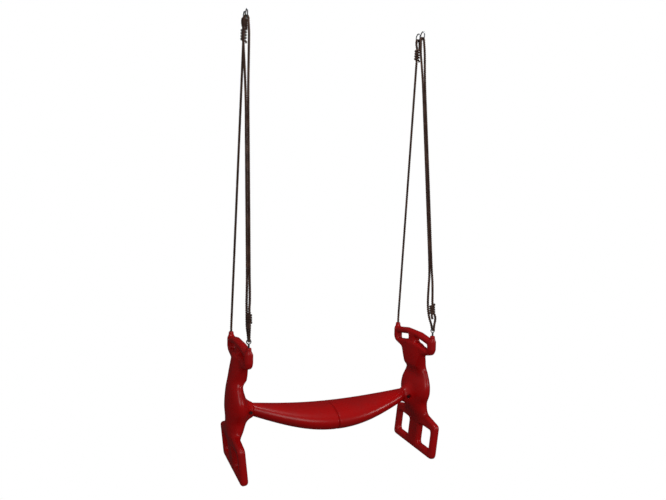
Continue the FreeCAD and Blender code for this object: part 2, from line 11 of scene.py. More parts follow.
import bmesh
import bpy
import numpy as np
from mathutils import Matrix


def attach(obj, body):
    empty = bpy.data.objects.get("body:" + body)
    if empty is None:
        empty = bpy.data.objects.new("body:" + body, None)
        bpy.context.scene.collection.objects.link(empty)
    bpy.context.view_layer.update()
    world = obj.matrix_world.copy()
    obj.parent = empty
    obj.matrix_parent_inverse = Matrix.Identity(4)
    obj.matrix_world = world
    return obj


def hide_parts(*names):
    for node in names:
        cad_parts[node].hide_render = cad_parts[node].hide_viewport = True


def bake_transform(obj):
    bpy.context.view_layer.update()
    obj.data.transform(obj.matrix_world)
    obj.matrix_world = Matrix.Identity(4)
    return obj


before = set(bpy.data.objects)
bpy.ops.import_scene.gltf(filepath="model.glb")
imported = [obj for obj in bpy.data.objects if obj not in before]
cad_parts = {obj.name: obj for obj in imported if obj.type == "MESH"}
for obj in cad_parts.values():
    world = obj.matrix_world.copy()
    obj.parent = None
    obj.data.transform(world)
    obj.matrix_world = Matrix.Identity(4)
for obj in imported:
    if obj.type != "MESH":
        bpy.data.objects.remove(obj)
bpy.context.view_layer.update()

import openvdb
from mathutils import Matrix, Vector

MM = 0.001
SIDES = ((1, "right"), (-1, "left"))


# %% [markdown]
# ## The camera
# The swing is looked at from the left, a little above the seat, and the camera is tipped by
# about one degree. A camera looks along its own -Z, so its turn is written as three axes:
# right, up and backwards.

# %% The camera
def aim_camera(place, yaw, pitch, roll, lens):
    forward = Vector((math.sin(yaw) * math.cos(pitch), math.cos(yaw) * math.cos(pitch),
                      math.sin(pitch)))
    right = Vector((math.cos(yaw), -math.sin(yaw), 0))
    up = right.cross(forward)
    turned_right = right * math.cos(roll) + up * math.sin(roll)
    turned_up = up * math.cos(roll) - right * math.sin(roll)
    data = bpy.data.cameras.new("camera")
    data.lens = lens
    data.sensor_width = 36
    camera = bpy.data.objects.new("camera", data)
    axes = Matrix((turned_right, turned_up, -forward)).transposed()
    camera.matrix_world = Matrix.Translation(place) @ axes.to_4x4()
    bpy.context.scene.collection.objects.link(camera)
    bpy.context.scene.camera = camera
    return camera


aim_camera((-0.97827, -2.54321, -0.76481), math.radians(21.0218), math.radians(-4.2020),
           math.radians(1.1158), 33.961)


# %% [markdown]
# ## Small helpers for meshes
# Every finished piece is a plain mesh at the origin, with its place in its vertices. These
# helpers make such a piece from lists, skin a row of rings as one closed tube, and draw a
# smooth curve through a short table of sizes.

# %% Mesh helpers
def mesh_piece(name, vertices, faces):
    mesh = bpy.data.meshes.new(name)
    mesh.from_pydata([tuple(v) for v in vertices], [], faces)
    mesh.validate()
    mesh.update()
    mesh.shade_smooth()
    piece = bpy.data.objects.new(name, mesh)
    bpy.context.scene.collection.objects.link(piece)
    return piece


def ring_faces(rings, around):
    """Quads between closed rings of points, and the two end rings as fans round a centre."""
    faces = []
    for ring in range(rings - 1):
        low, high = ring * around, (ring + 1) * around
        for i in range(around):
            j = (i + 1) % around
            faces.append((low + i, low + j, high + j, high + i))
    first, last = rings * around, rings * around + 1
    top = (rings - 1) * around
    for i in range(around):
        j = (i + 1) % around
        faces.append((first, j, i))
        faces.append((last, top + i, top + j))
    return faces


def smooth_table(rows, step=1.0):
    """A table (position, values...) made fine with a Catmull-Rom curve through its rows."""
    rows = np.array(rows, float)
    at = np.arange(rows[0, 0], rows[-1, 0] + step / 2, step)
    slopes = np.gradient(rows[:, 1:], rows[:, 0], axis=0)
    index = np.clip(np.searchsorted(rows[:, 0], at, side="right") - 1, 0, len(rows) - 2)
    span = (rows[index + 1, 0] - rows[index, 0])[:, None]
    t = (at - rows[index, 0])[:, None] / span
    start, stop = rows[index, 1:], rows[index + 1, 1:]
    values = ((2 * t ** 3 - 3 * t ** 2 + 1) * start + (t ** 3 - 2 * t ** 2 + t) * span
              * slopes[index] + (3 * t ** 2 - 2 * t ** 3) * stop
              + (t ** 3 - t ** 2) * span * slopes[index + 1])
    return at, values


# %% [markdown]
# ## The ropes
# Each rope is one fixed length of 9 mm three-strand rope, and it hangs tight because the swing
# pulls on it. The far rope comes up out of its horn, through a wrapped knot, over the ring and
# back into the knot, where it winds four times round itself. The near rope is doubled: it goes
# from its tail up through a sliding knot, over the ring, down through the eye bolt's ring and
# up again into the knot. The route is a curve of its own, and the rope's round form is swept
# along that curve afterwards, so the curve's length is the rope's real length.

# %% Where the ropes turn
HOOK_HALF_SPAN, HOOK_HALF_GAP = 397, 20.5
RING_OUTER, RING_WIRE = 40, 5
SUPPORT_X, HORN_Y, HORN_Z = 410, 166, -1333
ROPE_DIA, RING_CLEARANCE = 9, 0.8
EYE_HEIGHT, EYE_INSIDE, EYE_WIRE = 24, 13, 4.5
EYE_Z = HORN_Z + EYE_HEIGHT
EYE_WIRE_Z = EYE_Z + (EYE_INSIDE + EYE_WIRE) / 2
RING_WIRE_Z = 1.5 * RING_WIRE - RING_OUTER
FAR_KNOT_START, FAR_KNOT_LENGTH = 28, 54
NEAR_KNOT_OFFSET, NEAR_KNOT_START, NEAR_KNOT_LENGTH = 1, 62, 44
KNOT_TURNS, POINTS_A_TURN = 4, 16
KNOT_DIA = 27.4
WRAP_RADIUS = KNOT_DIA / 2 - ROPE_DIA / 2
ROPE_IN_HORN = 24


def line_between(foot, top):
    """The unit direction of a hanging rope, and two directions across it."""
    along = (Vector(top) - Vector(foot)).normalized()
    across = (Vector((1, 0, 0)) - along * along.x).normalized()
    return along, across, along.cross(across)


def wrap(centre, foot, top, length, start_angle, upwards):
    """The turns of a knot: points on a screw line round centre, from one end to the other."""
    along, across, aside = line_between(foot, top)
    count = KNOT_TURNS * POINTS_A_TURN
    points = []
    for i in range(count + 1):
        turn = start_angle + 2 * math.pi * KNOT_TURNS * i / count * (1 if upwards else -1)
        rise = length * i / count * (1 if upwards else -1)
        points.append(centre + along * rise + across * (WRAP_RADIUS * math.cos(turn))
                      + aside * (WRAP_RADIUS * math.sin(turn)))
    return points


def far_route(side):
    """The far rope, from its plug up through the horn and round its ring into the knot."""
    foot = Vector((side * SUPPORT_X, HORN_Y, EYE_Z))
    top = Vector((side * HOOK_HALF_SPAN, HOOK_HALF_GAP, RING_WIRE_Z))
    along = line_between(foot, top)[0]
    knot_top = top - along * FAR_KNOT_START
    gap = RING_WIRE / 2 + RING_CLEARANCE + ROPE_DIA / 2
    rise = FAR_KNOT_START + gap
    line = (top - foot).length
    in_horn = foot - Vector((0, 0, EYE_HEIGHT + ROPE_IN_HORN))
    points = [in_horn, foot - Vector((0, 0, 30)), foot - Vector((0, 0, 8)),
              foot + along * 12, foot + along * 60, foot + along * line / 3,
              foot + along * line * 2 / 3, knot_top - along * (FAR_KNOT_LENGTH + 30),
              knot_top - along * FAR_KNOT_LENGTH, knot_top - along * 12]
    eye = [(-3.5, 3), (-6.5, 12), (-gap, 22), (-gap, rise), (gap, rise), (gap, 24),
           (9, 13), (WRAP_RADIUS + 0.6, 5)]
    points += [knot_top + Vector((across, 0, 0)) + along * up for across, up in eye]
    turns = wrap(knot_top - along * 5, foot, top, FAR_KNOT_LENGTH - 9, 0, False)
    tail = turns[-1] - along * 9 + Vector((3, -4, 0))
    return points + turns + [turns[-1] - along * 3 + Vector((1, -2, 0)), tail]


NEAR_ROUTE = {
    "right": [
        (11, -5, 36), (3, -7.05, 14), (0, -7.05, -7.05),
        (0, 7.05, -7.05), (-2, 7.05, 15), (-14, 3, 44), (-20.5, 0, 80), (-19.5, 0, 125),
        (-13, 0, 185), (-5.2, 0, 250), (-4.4, 1.5, 430), (-5.6, -1, 680), (-4.8, 1, 910),
        (-5.2, 0, 1080), (-8, 0, 1160), (-11.5, 0, 1215), (-7.8, 0, 1258), (-7.8, 0, 1284.8),
        (7.8, 0, 1284.8), (7.8, 0, 1263), (9.5, 0, 1225), (7.5, 0, 1165),
        (4.6, 0, 1080), (5.4, 1, 910), (4.6, -1, 680), (5.8, 1.5, 430), (4.6, 0, 255),
        (7, 0, 205), (5, 0, 150), (3, 0, 122), (3.2, 0.4, 114), (3, 0, 106.4),
    ],
    "left": [
        (1, -10, 36), (0, -8, 14), (0, -7.05, -7.05),
        (0, 7.05, -7.05), (-1, 7.6, 15), (-3, 14, 38), (-3.5, 18.3, 58), (-3.5, 18.3, 108),
        (-5, 13, 142), (-5.5, 5, 182), (-5, 0, 245), (-4.6, 1.5, 420), (-5.4, -1, 640),
        (-5, 1, 820), (-5, 0, 930), (-6.5, 0, 1010), (-10, 0, 1100), (-14, 0, 1185), (-11, 0, 1240),
        (-7.8, 0, 1264), (-7.8, 0, 1284.8), (7.8, 0, 1284.8), (7.8, 0, 1264), (10, 0, 1228),
        (9.5, 0, 1180), (7.2, 0, 1095), (5.5, 0, 1010),
        (4.6, 0, 930), (5, 1, 820), (4.6, -1, 640), (5.4, 1.5, 420), (4.6, 0, 245),
        (5.5, 0, 190), (5, 0, 145), (3, 0, 122), (3.2, 0.4, 114), (3, 0, 106.4),
    ],
}
TAIL_ROUTE = [(-3.5, -7, 42), (-4.5, -5, 49), (-4, -2, 57), (0, 0, 66), (1, 0, 76),
              (1, 0, 88), (2, 0, 99)]
LOOP_INTO_KNOT = {"right": [(12.4, -4, 49), (11.2, -1, 58)],
                  "left": [(1, -12.4, 49), (2, -11.2, 58)]}
INTO_KNOT_ANGLE = {"right": 0, "left": -math.pi / 2}


def near_route(side, word):
    """The near rope: points across, aside and along its line, then the turns of its knot."""
    foot = Vector((side * SUPPORT_X, -HORN_Y, EYE_WIRE_Z))
    top = Vector((side * HOOK_HALF_SPAN, -HOOK_HALF_GAP, RING_WIRE_Z))
    along = line_between(foot, top)[0]

    def spot(point):
        return foot + Vector(point[:2] + (0,)) + along * point[2]

    route = TAIL_ROUTE + NEAR_ROUTE[word][::-1] + LOOP_INTO_KNOT[word]
    centre = spot((NEAR_KNOT_OFFSET, 0, NEAR_KNOT_START + 2))
    turns = wrap(centre, foot, top, NEAR_KNOT_LENGTH - 6, INTO_KNOT_ANGLE[word], True)
    end = turns[-1] + along * 6 + Vector((2, -3, 0))
    return [spot(point) for point in route] + turns + [end]


# %% [markdown]
# ### From route to rope
# A spline of degree two touches each leg of the route in its middle, so it bends as softly as a
# rope does. Three-strand rope has a clover outline that turns once every three diameters, and
# sweeping that outline makes all three strands as one closed skin. The outline keeps its own
# upright from ring to ring, carried along the curve, so that it doesn't spin by itself. The
# crowns of the strands stand a quarter past the rope's named size, and the hollows between
# them bring its mean thickness back to a little under 9 mm.

# %% Sweep the three strands
STRANDS, POINTS_A_STRAND = 3, 8
LAY_LENGTH = 27
RING_STEP = 1.7
CROWN_DIA = 1.25 * ROPE_DIA
STRAND_OFFSET = 0.2675 * CROWN_DIA
STRAND_RADIUS = CROWN_DIA / 2 - STRAND_OFFSET


def spline_line(name, points):
    """The centreline in metres: a NURBS spline through the route, read back as points."""
    curve = bpy.data.curves.new(name, "CURVE")
    curve.dimensions = "3D"
    spline = curve.splines.new("NURBS")
    spline.points.add(len(points) - 1)
    for control, point in zip(spline.points, points):
        control.co = (*(point * MM), 1)
    spline.order_u = 3
    spline.use_endpoint_u = True
    spline.resolution_u = 24
    thing = bpy.data.objects.new(name, curve)
    bpy.context.scene.collection.objects.link(thing)
    bpy.context.view_layer.update()
    mesh = bpy.data.meshes.new_from_object(
        thing.evaluated_get(bpy.context.evaluated_depsgraph_get()))
    line = np.array([v.co for v in mesh.vertices], float)
    bpy.data.objects.remove(thing)
    bpy.data.meshes.remove(mesh)
    steps = np.linalg.norm(np.diff(line, axis=0), axis=1)
    line = line[np.concatenate([[True], steps > 1e-7])]
    reach = np.concatenate([[0], np.cumsum(np.linalg.norm(np.diff(line, axis=0), axis=1))])
    count = int(reach[-1] / (RING_STEP * MM))
    at = np.linspace(0, reach[-1], count)
    return np.stack([np.interp(at, reach, line[:, i]) for i in range(3)], 1), reach[-1]


def carried_frames(line):
    """Two directions across the line at each point, carried along it without spin."""
    heading = np.gradient(line, axis=0)
    heading /= np.linalg.norm(heading, axis=1)[:, None]
    side = np.cross(heading[0], (0.0, 1.0, 0.0))
    sides = []
    for way in heading:
        side = side - way * np.dot(side, way)
        side = side / np.linalg.norm(side)
        sides.append(side)
    sides = np.array(sides)
    return sides, np.cross(heading, sides)


def clover():
    """Angle and radius of the outline of three touching strands, in millimetres."""
    count = STRANDS * POINTS_A_STRAND
    angle = np.arange(count) * 2 * math.pi / count
    off = (angle + math.pi / STRANDS) % (2 * math.pi / STRANDS) - math.pi / STRANDS
    inside = np.maximum(STRAND_RADIUS ** 2 - (STRAND_OFFSET * np.sin(off)) ** 2, 0)
    return angle, STRAND_OFFSET * np.cos(off) + np.sqrt(inside)


def sweep_rope(name, points, swell):
    """The rope's skin along the points; swell gives its growth at a share of its length."""
    line, length = spline_line(name + "_line", points)
    sides, ups = carried_frames(line)
    angle, radius = clover()
    around = len(angle)
    step = length / (len(line) - 1)
    vertices = []
    for ring, point in enumerate(line):
        turned = angle + 2 * math.pi * ring * step / (LAY_LENGTH * MM)
        grown = swell(ring / (len(line) - 1))
        vertices.append(point + MM * grown * radius[:, None] * (
            np.cos(turned)[:, None] * sides[ring] + np.sin(turned)[:, None] * ups[ring]))
    vertices = np.concatenate(vertices + [line[:1], line[-1:]])
    faces = ring_faces(len(line), around)
    rope = mesh_piece(name, vertices, [tuple(reversed(f)) for f in faces])
    uv = rope.data.uv_layers.new(name="rope")
    ring_of = np.minimum(np.arange(len(vertices)) // around, len(line) - 1)
    loops = np.empty(len(rope.data.loops), np.int32)
    rope.data.loops.foreach_get("vertex_index", loops)
    coordinates = np.empty((len(loops), 2), np.float32)
    coordinates[:, 0] = ring_of[loops] * step
    coordinates[:, 1] = (loops % around) / POINTS_A_STRAND * ROPE_DIA * MM
    uv.data.foreach_set("uv", coordinates.ravel())
    fix_outward(rope)
    print("%-20s %6.1f mm, %d rings, %d faces" % (name, length * 1000, len(line), len(faces)))
    return rope, line, length


def fix_outward(piece):
    work = bmesh.new()
    work.from_mesh(piece.data)
    bmesh.ops.recalc_face_normals(work, faces=work.faces)
    work.to_mesh(piece.data)
    work.free()


# %% [markdown]
# ### The four ropes in place
# The end of each far rope is melted into a plug that can't slip back through the horn. A knot
# squeezes its own turns, so they are a little thinner and each one shows. A far rope runs from
# the glider below the horn's top to the swinging ropes above it; its skin stays where it is laid
# and is fixed to neither body. A near rope turns freely in its eye bolt and rides whole.

# %% Lay the four ropes
STOPPER_TOP, STOPPER_LENGTH, STOPPER_GROWTH = HORN_Z - 41.6, 22, 17 / ROPE_DIA
STOPPER_RINGS, BLEND_LENGTH, EYE_TO_EXIT = 6, 48, 14
KNOT_SQUEEZE, SQUEEZE_SHARE = 0.16, 0.01


def stopper_swell(share):
    """The rope's end is melted into a plug: it swells quickly, and its end is domed."""
    rise = min(share / 0.22, 1, (1 - share) / 0.3 + 0.35)
    return 1 + (STOPPER_GROWTH - 1) * rise


def pulled_tight(points):
    """A knot squeezes its own turns, so the rope's last stretch is thinner than the rest."""
    total = sum((b - a).length for a, b in zip(points, points[1:]))
    wound = 2 * math.pi * WRAP_RADIUS * KNOT_TURNS / total

    def squeeze(share):
        return 1 - KNOT_SQUEEZE * min(max((share - 1 + wound) / SQUEEZE_SHARE, 0), 1)
    return squeeze


ropes = []
for side, word in SIDES:
    body = word + "_ropes"
    at = Vector((side * SUPPORT_X, HORN_Y, STOPPER_TOP))
    plug, _, _ = sweep_rope("rope_stopper_" + word, [
        at - Vector((0, 0, STOPPER_LENGTH * share / STOPPER_RINGS))
        for share in range(STOPPER_RINGS + 1)], stopper_swell)
    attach(plug, "glider")
    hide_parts("rope_far_%s_stopper" % word)
    ropes.append(plug)
    route = far_route(side)
    rope, line, length = sweep_rope("far_rope_" + word, route, pulled_tight(route))
    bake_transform(rope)
    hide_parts("rope_far_" + word, "rope_far_%s_eye" % word, "rope_far_%s_knot" % word,
                "rope_far_%s_foot" % word)
    ropes.append(rope)
    route = near_route(side, word)
    rope, line, length = sweep_rope("near_rope_" + word, route, pulled_tight(route))
    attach(rope, body)
    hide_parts("rope_near_" + word, "rope_near_%s_knot" % word,
                "rope_near_%s_tail" % word)
    ropes.append(rope)


# %% [markdown]
# ## The hanging rings
# The four rings are the same welded wire ring, so one Geometry Nodes tree makes it: a circle of
# wire with the small bead that butt welding leaves. The tree copies the ring to each point of a
# tiny mesh, turns it to hang across the seat, and makes the copies real geometry. Each pair of
# rings is one body, so each pair becomes one mesh.

# %% A Geometry Nodes tree with named inputs
def node_tree(name, inputs):
    tree = bpy.data.node_groups.new(name, "GeometryNodeTree")
    tree.interface.new_socket("Geometry", in_out="INPUT", socket_type="NodeSocketGeometry")
    for label, kind, value in inputs:
        socket = tree.interface.new_socket(label, in_out="INPUT", socket_type=kind)
        if value is not None:
            socket.default_value = value
    tree.interface.new_socket("Geometry", in_out="OUTPUT", socket_type="NodeSocketGeometry")
    return tree, tree.nodes.new("NodeGroupInput"), tree.nodes.new("NodeGroupOutput")


def add_node(tree, kind, settings=(), **links):
    """A node, its settings, and its inputs: a socket is linked and a value is set."""
    made = tree.nodes.new(kind)
    for label, value in dict(settings).items():
        setattr(made, label, value)
    for label, value in links.items():
        label = label.replace("_", " ")
        socket = [s for s in made.inputs if s.name == label and s.enabled][0]
        if isinstance(value, bpy.types.NodeSocket):
            tree.links.new(value, socket)
        else:
            socket.default_value = value
    return made


def finish_tree(tree, geometry, out, material):
    real = add_node(tree, "GeometryNodeRealizeInstances", Geometry=geometry)
    painted = add_node(tree, "GeometryNodeSetMaterial", Geometry=real.outputs[0],
                       Material=material)
    tree.links.new(painted.outputs[0], out.inputs[0])


def grown_mesh(name, points, tree, values=()):
    """Run a tree on a mesh of single points, and keep the result as a plain mesh piece."""
    seed = bpy.data.meshes.new(name + "_points")
    seed.from_pydata([tuple(p) for p in points], [], [])
    thing = bpy.data.objects.new(name, seed)
    bpy.context.scene.collection.objects.link(thing)
    modifier = thing.modifiers.new("made", "NODES")
    modifier.node_group = tree
    for item in tree.interface.items_tree:
        if item.in_out == "INPUT" and item.name in dict(values):
            modifier[item.identifier] = dict(values)[item.name]
    bpy.context.view_layer.update()
    made = bpy.data.meshes.new_from_object(
        thing.evaluated_get(bpy.context.evaluated_depsgraph_get()))
    thing.modifiers.clear()
    thing.data = made
    made.shade_smooth()
    print("%-24s %5d faces" % (name, len(made.polygons)))
    return thing


# %% Materials are made further down and found here by name
def finish_named(name):
    return bpy.data.materials.get(name) or bpy.data.materials.new(name)


ring_steel = finish_named("zinc_plated_wire")


# %% Grow the rings
WELD_PLACE, BEAD_HALF_LENGTH = 0.62, 0.018


def ring_tree():
    """Wire bent to a circle, thicker at its weld, and one copy of it on each point."""
    tree, given, out = node_tree("welded_wire_ring", [
        ("Outer Diameter", "NodeSocketFloat", RING_OUTER * MM),
        ("Wire Diameter", "NodeSocketFloat", RING_WIRE * MM),
        ("Weld Growth", "NodeSocketFloat", 0.12)])
    outer, wire, growth = (given.outputs[i] for i in (1, 2, 3))
    inset = add_node(tree, "ShaderNodeMath", {"operation": "SUBTRACT"})
    tree.links.new(outer, inset.inputs[0])
    tree.links.new(wire, inset.inputs[1])
    radius = add_node(tree, "ShaderNodeMath", {"operation": "MULTIPLY"})
    tree.links.new(inset.outputs[0], radius.inputs[0])
    radius.inputs[1].default_value = 0.5
    thin = add_node(tree, "ShaderNodeMath", {"operation": "MULTIPLY"})
    tree.links.new(wire, thin.inputs[0])
    thin.inputs[1].default_value = 0.5
    loop = add_node(tree, "GeometryNodeCurvePrimitiveCircle", Resolution=96,
                    Radius=radius.outputs[0])
    profile = add_node(tree, "GeometryNodeCurvePrimitiveCircle", Resolution=24,
                       Radius=thin.outputs[0])
    along = add_node(tree, "GeometryNodeSplineParameter")
    from_weld = add_node(tree, "ShaderNodeMath", {"operation": "ABSOLUTE"})
    shifted = add_node(tree, "ShaderNodeMath", {"operation": "SUBTRACT"})
    tree.links.new(along.outputs[0], shifted.inputs[0])
    shifted.inputs[1].default_value = WELD_PLACE
    tree.links.new(shifted.outputs[0], from_weld.inputs[0])
    bead = add_node(tree, "ShaderNodeMapRange", {"interpolation_type": "SMOOTHSTEP"})
    tree.links.new(from_weld.outputs[0], bead.inputs[0])
    bead.inputs[1].default_value, bead.inputs[2].default_value = 0.0, BEAD_HALF_LENGTH
    tree.links.new(growth, bead.inputs[3])
    bead.inputs[4].default_value = 0.0
    thickness = add_node(tree, "ShaderNodeMath", {"operation": "ADD"})
    tree.links.new(bead.outputs[0], thickness.inputs[0])
    thickness.inputs[1].default_value = 1.0
    swept = add_node(tree, "GeometryNodeCurveToMesh", Curve=loop.outputs[0],
                     Profile_Curve=profile.outputs[0])
    scale = [s for s in swept.inputs if s.name == "Scale"]
    if scale:
        tree.links.new(thickness.outputs[0], scale[0])
    copies = add_node(tree, "GeometryNodeInstanceOnPoints", Points=given.outputs[0],
                      Instance=swept.outputs[0], Rotation=(0, math.pi / 2, 0))
    finish_tree(tree, copies.outputs[0], out, ring_steel)
    return tree


rings_grow = ring_tree()
for side, word in SIDES:
    centres = [Vector((side * HOOK_HALF_SPAN, way * HOOK_HALF_GAP, RING_WIRE - RING_OUTER / 2))
               * MM for way in (1, -1)]
    rings = grown_mesh("hanging_rings_" + word, centres, rings_grow)
    fix_outward(rings)
    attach(rings, word + "_rings")
    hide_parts("hanging_ring_%s_far" % word, "hanging_ring_%s_near" % word)


# %% [markdown]
# ## The end supports
# A blow-moulded part has no sharp inside corners: handle, column, collar and foot rest melt into
# one another. Such blends are hard to model with quads by hand. They are easy when each form is
# written as its distance from any point in space, because a soft minimum of two distances is a
# fillet. The distances are worked out on a grid, the skin at distance zero becomes quads, and
# every vertex then slides on to the exact skin.

# %% Distances and how they join
def soft_join(a, b, fillet):
    mixed = np.maximum(fillet - np.abs(a - b), 0) / fillet
    return np.minimum(a, b) - mixed * mixed * fillet / 4


def soft_cut(a, b, fillet):
    return -soft_join(-a, b, fillet)


def rounded_edge(across, through, radius):
    """Distance of a plate from its outline's distance and its face's distance."""
    a, b = across + radius, through + radius
    return np.minimum(np.maximum(a, b), 0) + np.hypot(np.maximum(a, 0),
                                                      np.maximum(b, 0)) - radius


def rounded_corners(corners, steps=7):
    """A closed outline from corners (across, up, radius), each corner a row of points."""
    outline = []
    count = len(corners)
    for i in range(count):
        here = Vector(corners[i][:2])
        back = (Vector(corners[i - 1][:2]) - here).normalized()
        ahead = (Vector(corners[(i + 1) % count][:2]) - here).normalized()
        half = back.angle(ahead) / 2
        reach = corners[i][2] / math.tan(half)
        for k in range(steps + 1):
            t = k / steps
            outline.append(here + back * reach * (1 - t) ** 2 + ahead * reach * t ** 2)
    return np.array(outline)


def outline_distance(outline, across, up):
    """Signed distance from a closed outline, below zero inside it."""
    nearest = np.full(np.broadcast(across, up).shape, 1e9)
    inside = np.zeros(nearest.shape, bool)
    for (ay, az), (by, bz) in zip(outline, np.roll(outline, -1, axis=0)):
        ey, ez = by - ay, bz - az
        length = ey * ey + ez * ez
        if length < 1e-9:
            continue
        t = np.clip(((across - ay) * ey + (up - az) * ez) / length, 0, 1)
        gap = (across - ay - t * ey) ** 2 + (up - az - t * ez) ** 2
        nearest = np.minimum(nearest, gap)
        if abs(ez) > 1e-12:
            crossing = (up >= min(az, bz)) & (up < max(az, bz))
            inside ^= crossing & (across < ay + (up - az) * ey / ez)
    return np.where(inside, -1, 1) * np.sqrt(nearest)


def mirrored_outline(half):
    return half + [(-across, up, radius) for across, up, radius in reversed(half)]


# %% [markdown]
# The sizes are the CAD model's. Heights are measured up from the horn tops, so they are mostly
# negative, and X is measured outwards from the horns' line.

# %% The forms of a support
HANDLE_SHIFT, HANDLE_HALF, HANDLE_EDGE = -1, 17, 13
HANDLE_OUTLINE = rounded_corners(mirrored_outline([
    (62, -5, 70), (176, -22, 9), (176, -85, 30), (98, -103, 26), (60, -167, 12)]))
SLOTS = [rounded_corners([(way * 31, -30, 8), (way * 143, -45, 8), (way * 143, -71, 8),
                          (way * 31, -56, 8)]) for way in (1, -1)]
FOOT_SHIFT, FOOT_Z, FOOT_TILT, FOOT_HALF, FOOT_EDGE = 30, -392, 6.3, 16, 13
FOOT_OUTLINE = rounded_corners(mirrored_outline([
    (64, 14, 20), (183, -12, 24), (183, -165, 24)]))
WINDOWS = [rounded_corners([(way * 46, -44, 14), (way * 150, -44, 14), (way * 150, -131, 14),
                            (way * 46, -131, 14)]) for way in (1, -1)]
COLUMN_AT, COLUMN = smooth_table([
    (72, 3, 20, 50), (102, 6, 25, 60), (132, 10, 28, 68), (167, 16, 29.5, 68),
    (200, 19, 30.5, 86), (246, 15, 38, 109), (290, 12, 44, 107), (335, 14, 40, 83),
    (380, 20, 33, 83), (424, 24, 15, 70)])
COLUMN_FULLNESS = 2.25
HORN_RADIUS, HORN_HALF, HORN_EDGE = 11, 32, 5
SEAT_AXIS_Z, COLLAR_FACE, COLLAR_END, COLLAR_EDGE = -304.5, 352, 418, 5
BOLT_X, BOLT_SPOT, SPOT_FACE = 367, 11, 37
FAR_HOLE, NEAR_HOLE, HOLE_DEPTH = 5.0, 4.3, 60
COLUMN_ROUND, HANDLE_FILLET, FOOT_FILLET, COLLAR_FILLET, HORN_FILLET = 10, 30, 16, 26, 14
COLLAR_TABLE_AT, COLLAR_TABLE = smooth_table([
    (COLLAR_FACE - 6, 32), (COLLAR_FACE, 32), (368, 37.5), (384, 44), (400, 53), (420, 60)])


def column_distance(x, y, z):
    centre, depth, width = (np.interp(-z, COLUMN_AT, COLUMN[:, i]) for i in range(3))
    u, v = np.abs(x - centre) / depth, np.abs(y) / width
    power = COLUMN_FULLNESS
    reach = (u ** power + v ** power + 1e-9) ** (1 / power)
    slope = np.hypot((u / reach) ** (power - 1) / depth, (v / reach) ** (power - 1) / width)
    side = (reach - 1) / slope
    ends = np.maximum(z - (-COLUMN_AT[0]), -COLUMN_AT[-1] - z)
    return -soft_join(-side, -ends, COLUMN_ROUND)


def horn_distance(x, y, z, way):
    across = np.hypot(x, y - way * HORN_Y) - HORN_RADIUS
    through = np.abs(z + HORN_HALF) - HORN_HALF
    return rounded_edge(across, through, HORN_EDGE)


def plate_with_openings(outline, openings, across, up, through, edge):
    """Distance from a flat plate with a rounded rim, and with each opening cut through it."""
    distance = outline_distance(outline, across, up)
    for opening in openings:
        distance = np.maximum(distance, -outline_distance(opening, across, up))
    return rounded_edge(distance, through, edge)


def support_distance(x, y, z):
    """Distance from the right support: X from the horns' line, Z from the horn tops."""
    handle = plate_with_openings(HANDLE_OUTLINE, SLOTS, y, z, np.abs(x - HANDLE_SHIFT)
                                 - HANDLE_HALF, HANDLE_EDGE)
    tilt = math.radians(FOOT_TILT)
    from_x, from_z = x - FOOT_SHIFT, z - FOOT_Z
    through = from_x * math.cos(tilt) - from_z * math.sin(tilt)
    up = from_x * math.sin(tilt) + from_z * math.cos(tilt)
    foot = plate_with_openings(FOOT_OUTLINE, WINDOWS, y, up, np.abs(through) - FOOT_HALF,
                               FOOT_EDGE)
    body = soft_join(column_distance(x, y, z), handle, HANDLE_FILLET)
    body = soft_join(body, foot, FOOT_FILLET)
    out = SUPPORT_X + x
    around = np.hypot(y, z - SEAT_AXIS_Z) - np.interp(out, COLLAR_TABLE_AT, COLLAR_TABLE[:, 0])
    collar = rounded_edge(around, np.maximum(COLLAR_FACE - out, out - COLLAR_END), COLLAR_EDGE)
    body = soft_join(body, collar, COLLAR_FILLET)
    for way in (1, -1):
        body = soft_join(body, horn_distance(x, y, z, way), HORN_FILLET)
    from_bolt = np.hypot(out - BOLT_X, z - SEAT_AXIS_Z) - BOLT_SPOT
    body = soft_cut(body, np.maximum(from_bolt, SPOT_FACE - np.abs(y)), 2)
    far_hole = np.maximum(np.hypot(x, y - HORN_Y) - FAR_HOLE, -HOLE_DEPTH - z)
    near_hole = np.maximum(np.hypot(x, y + HORN_Y) - NEAR_HOLE, -HOLE_DEPTH - z)
    return soft_cut(soft_cut(body, far_hole, 2.5), near_hole, 1.5)


# %% [markdown]
# The grid is 2.3 mm, fine enough for the horn's rim. Three Newton steps along the slope of the
# distance put each vertex on the skin, which leaves a glossy surface without ripples.

# %% Skin the supports
GRID, SLOPE_STEP, SLIDES = 2.3, 0.05, 3
SUPPORT_LOW, SUPPORT_HIGH = (-70, -184, -575), (70, 184, 6)


def skin_of(distance, low, high, spacing):
    """Vertices and quads where a distance is zero, inside the box from low to high."""
    axes = [np.arange(a, b + spacing, spacing) for a, b in zip(low, high)]
    field = distance(axes[0][:, None, None], axes[1][None, :, None], axes[2][None, None, :])
    field = np.ascontiguousarray(np.broadcast_to(field, [len(a) for a in axes]), np.float32)
    grid = openvdb.FloatGrid(background=50.0)
    grid.copyFromArray(field)
    points, quads = grid.convertToQuads(isovalue=0)
    points = np.array(points, float) * spacing + np.array(low)
    for _ in range(SLIDES):
        here = distance(*points.T)
        slope = np.stack([distance(*(points + step).T) - here
                          for step in np.eye(3) * SLOPE_STEP], 1) / SLOPE_STEP
        size = np.maximum((slope ** 2).sum(1), 0.25)
        move = np.clip(here / size, -1.0, 1.0)
        points -= slope * move[:, None]
    return points, np.array(quads)


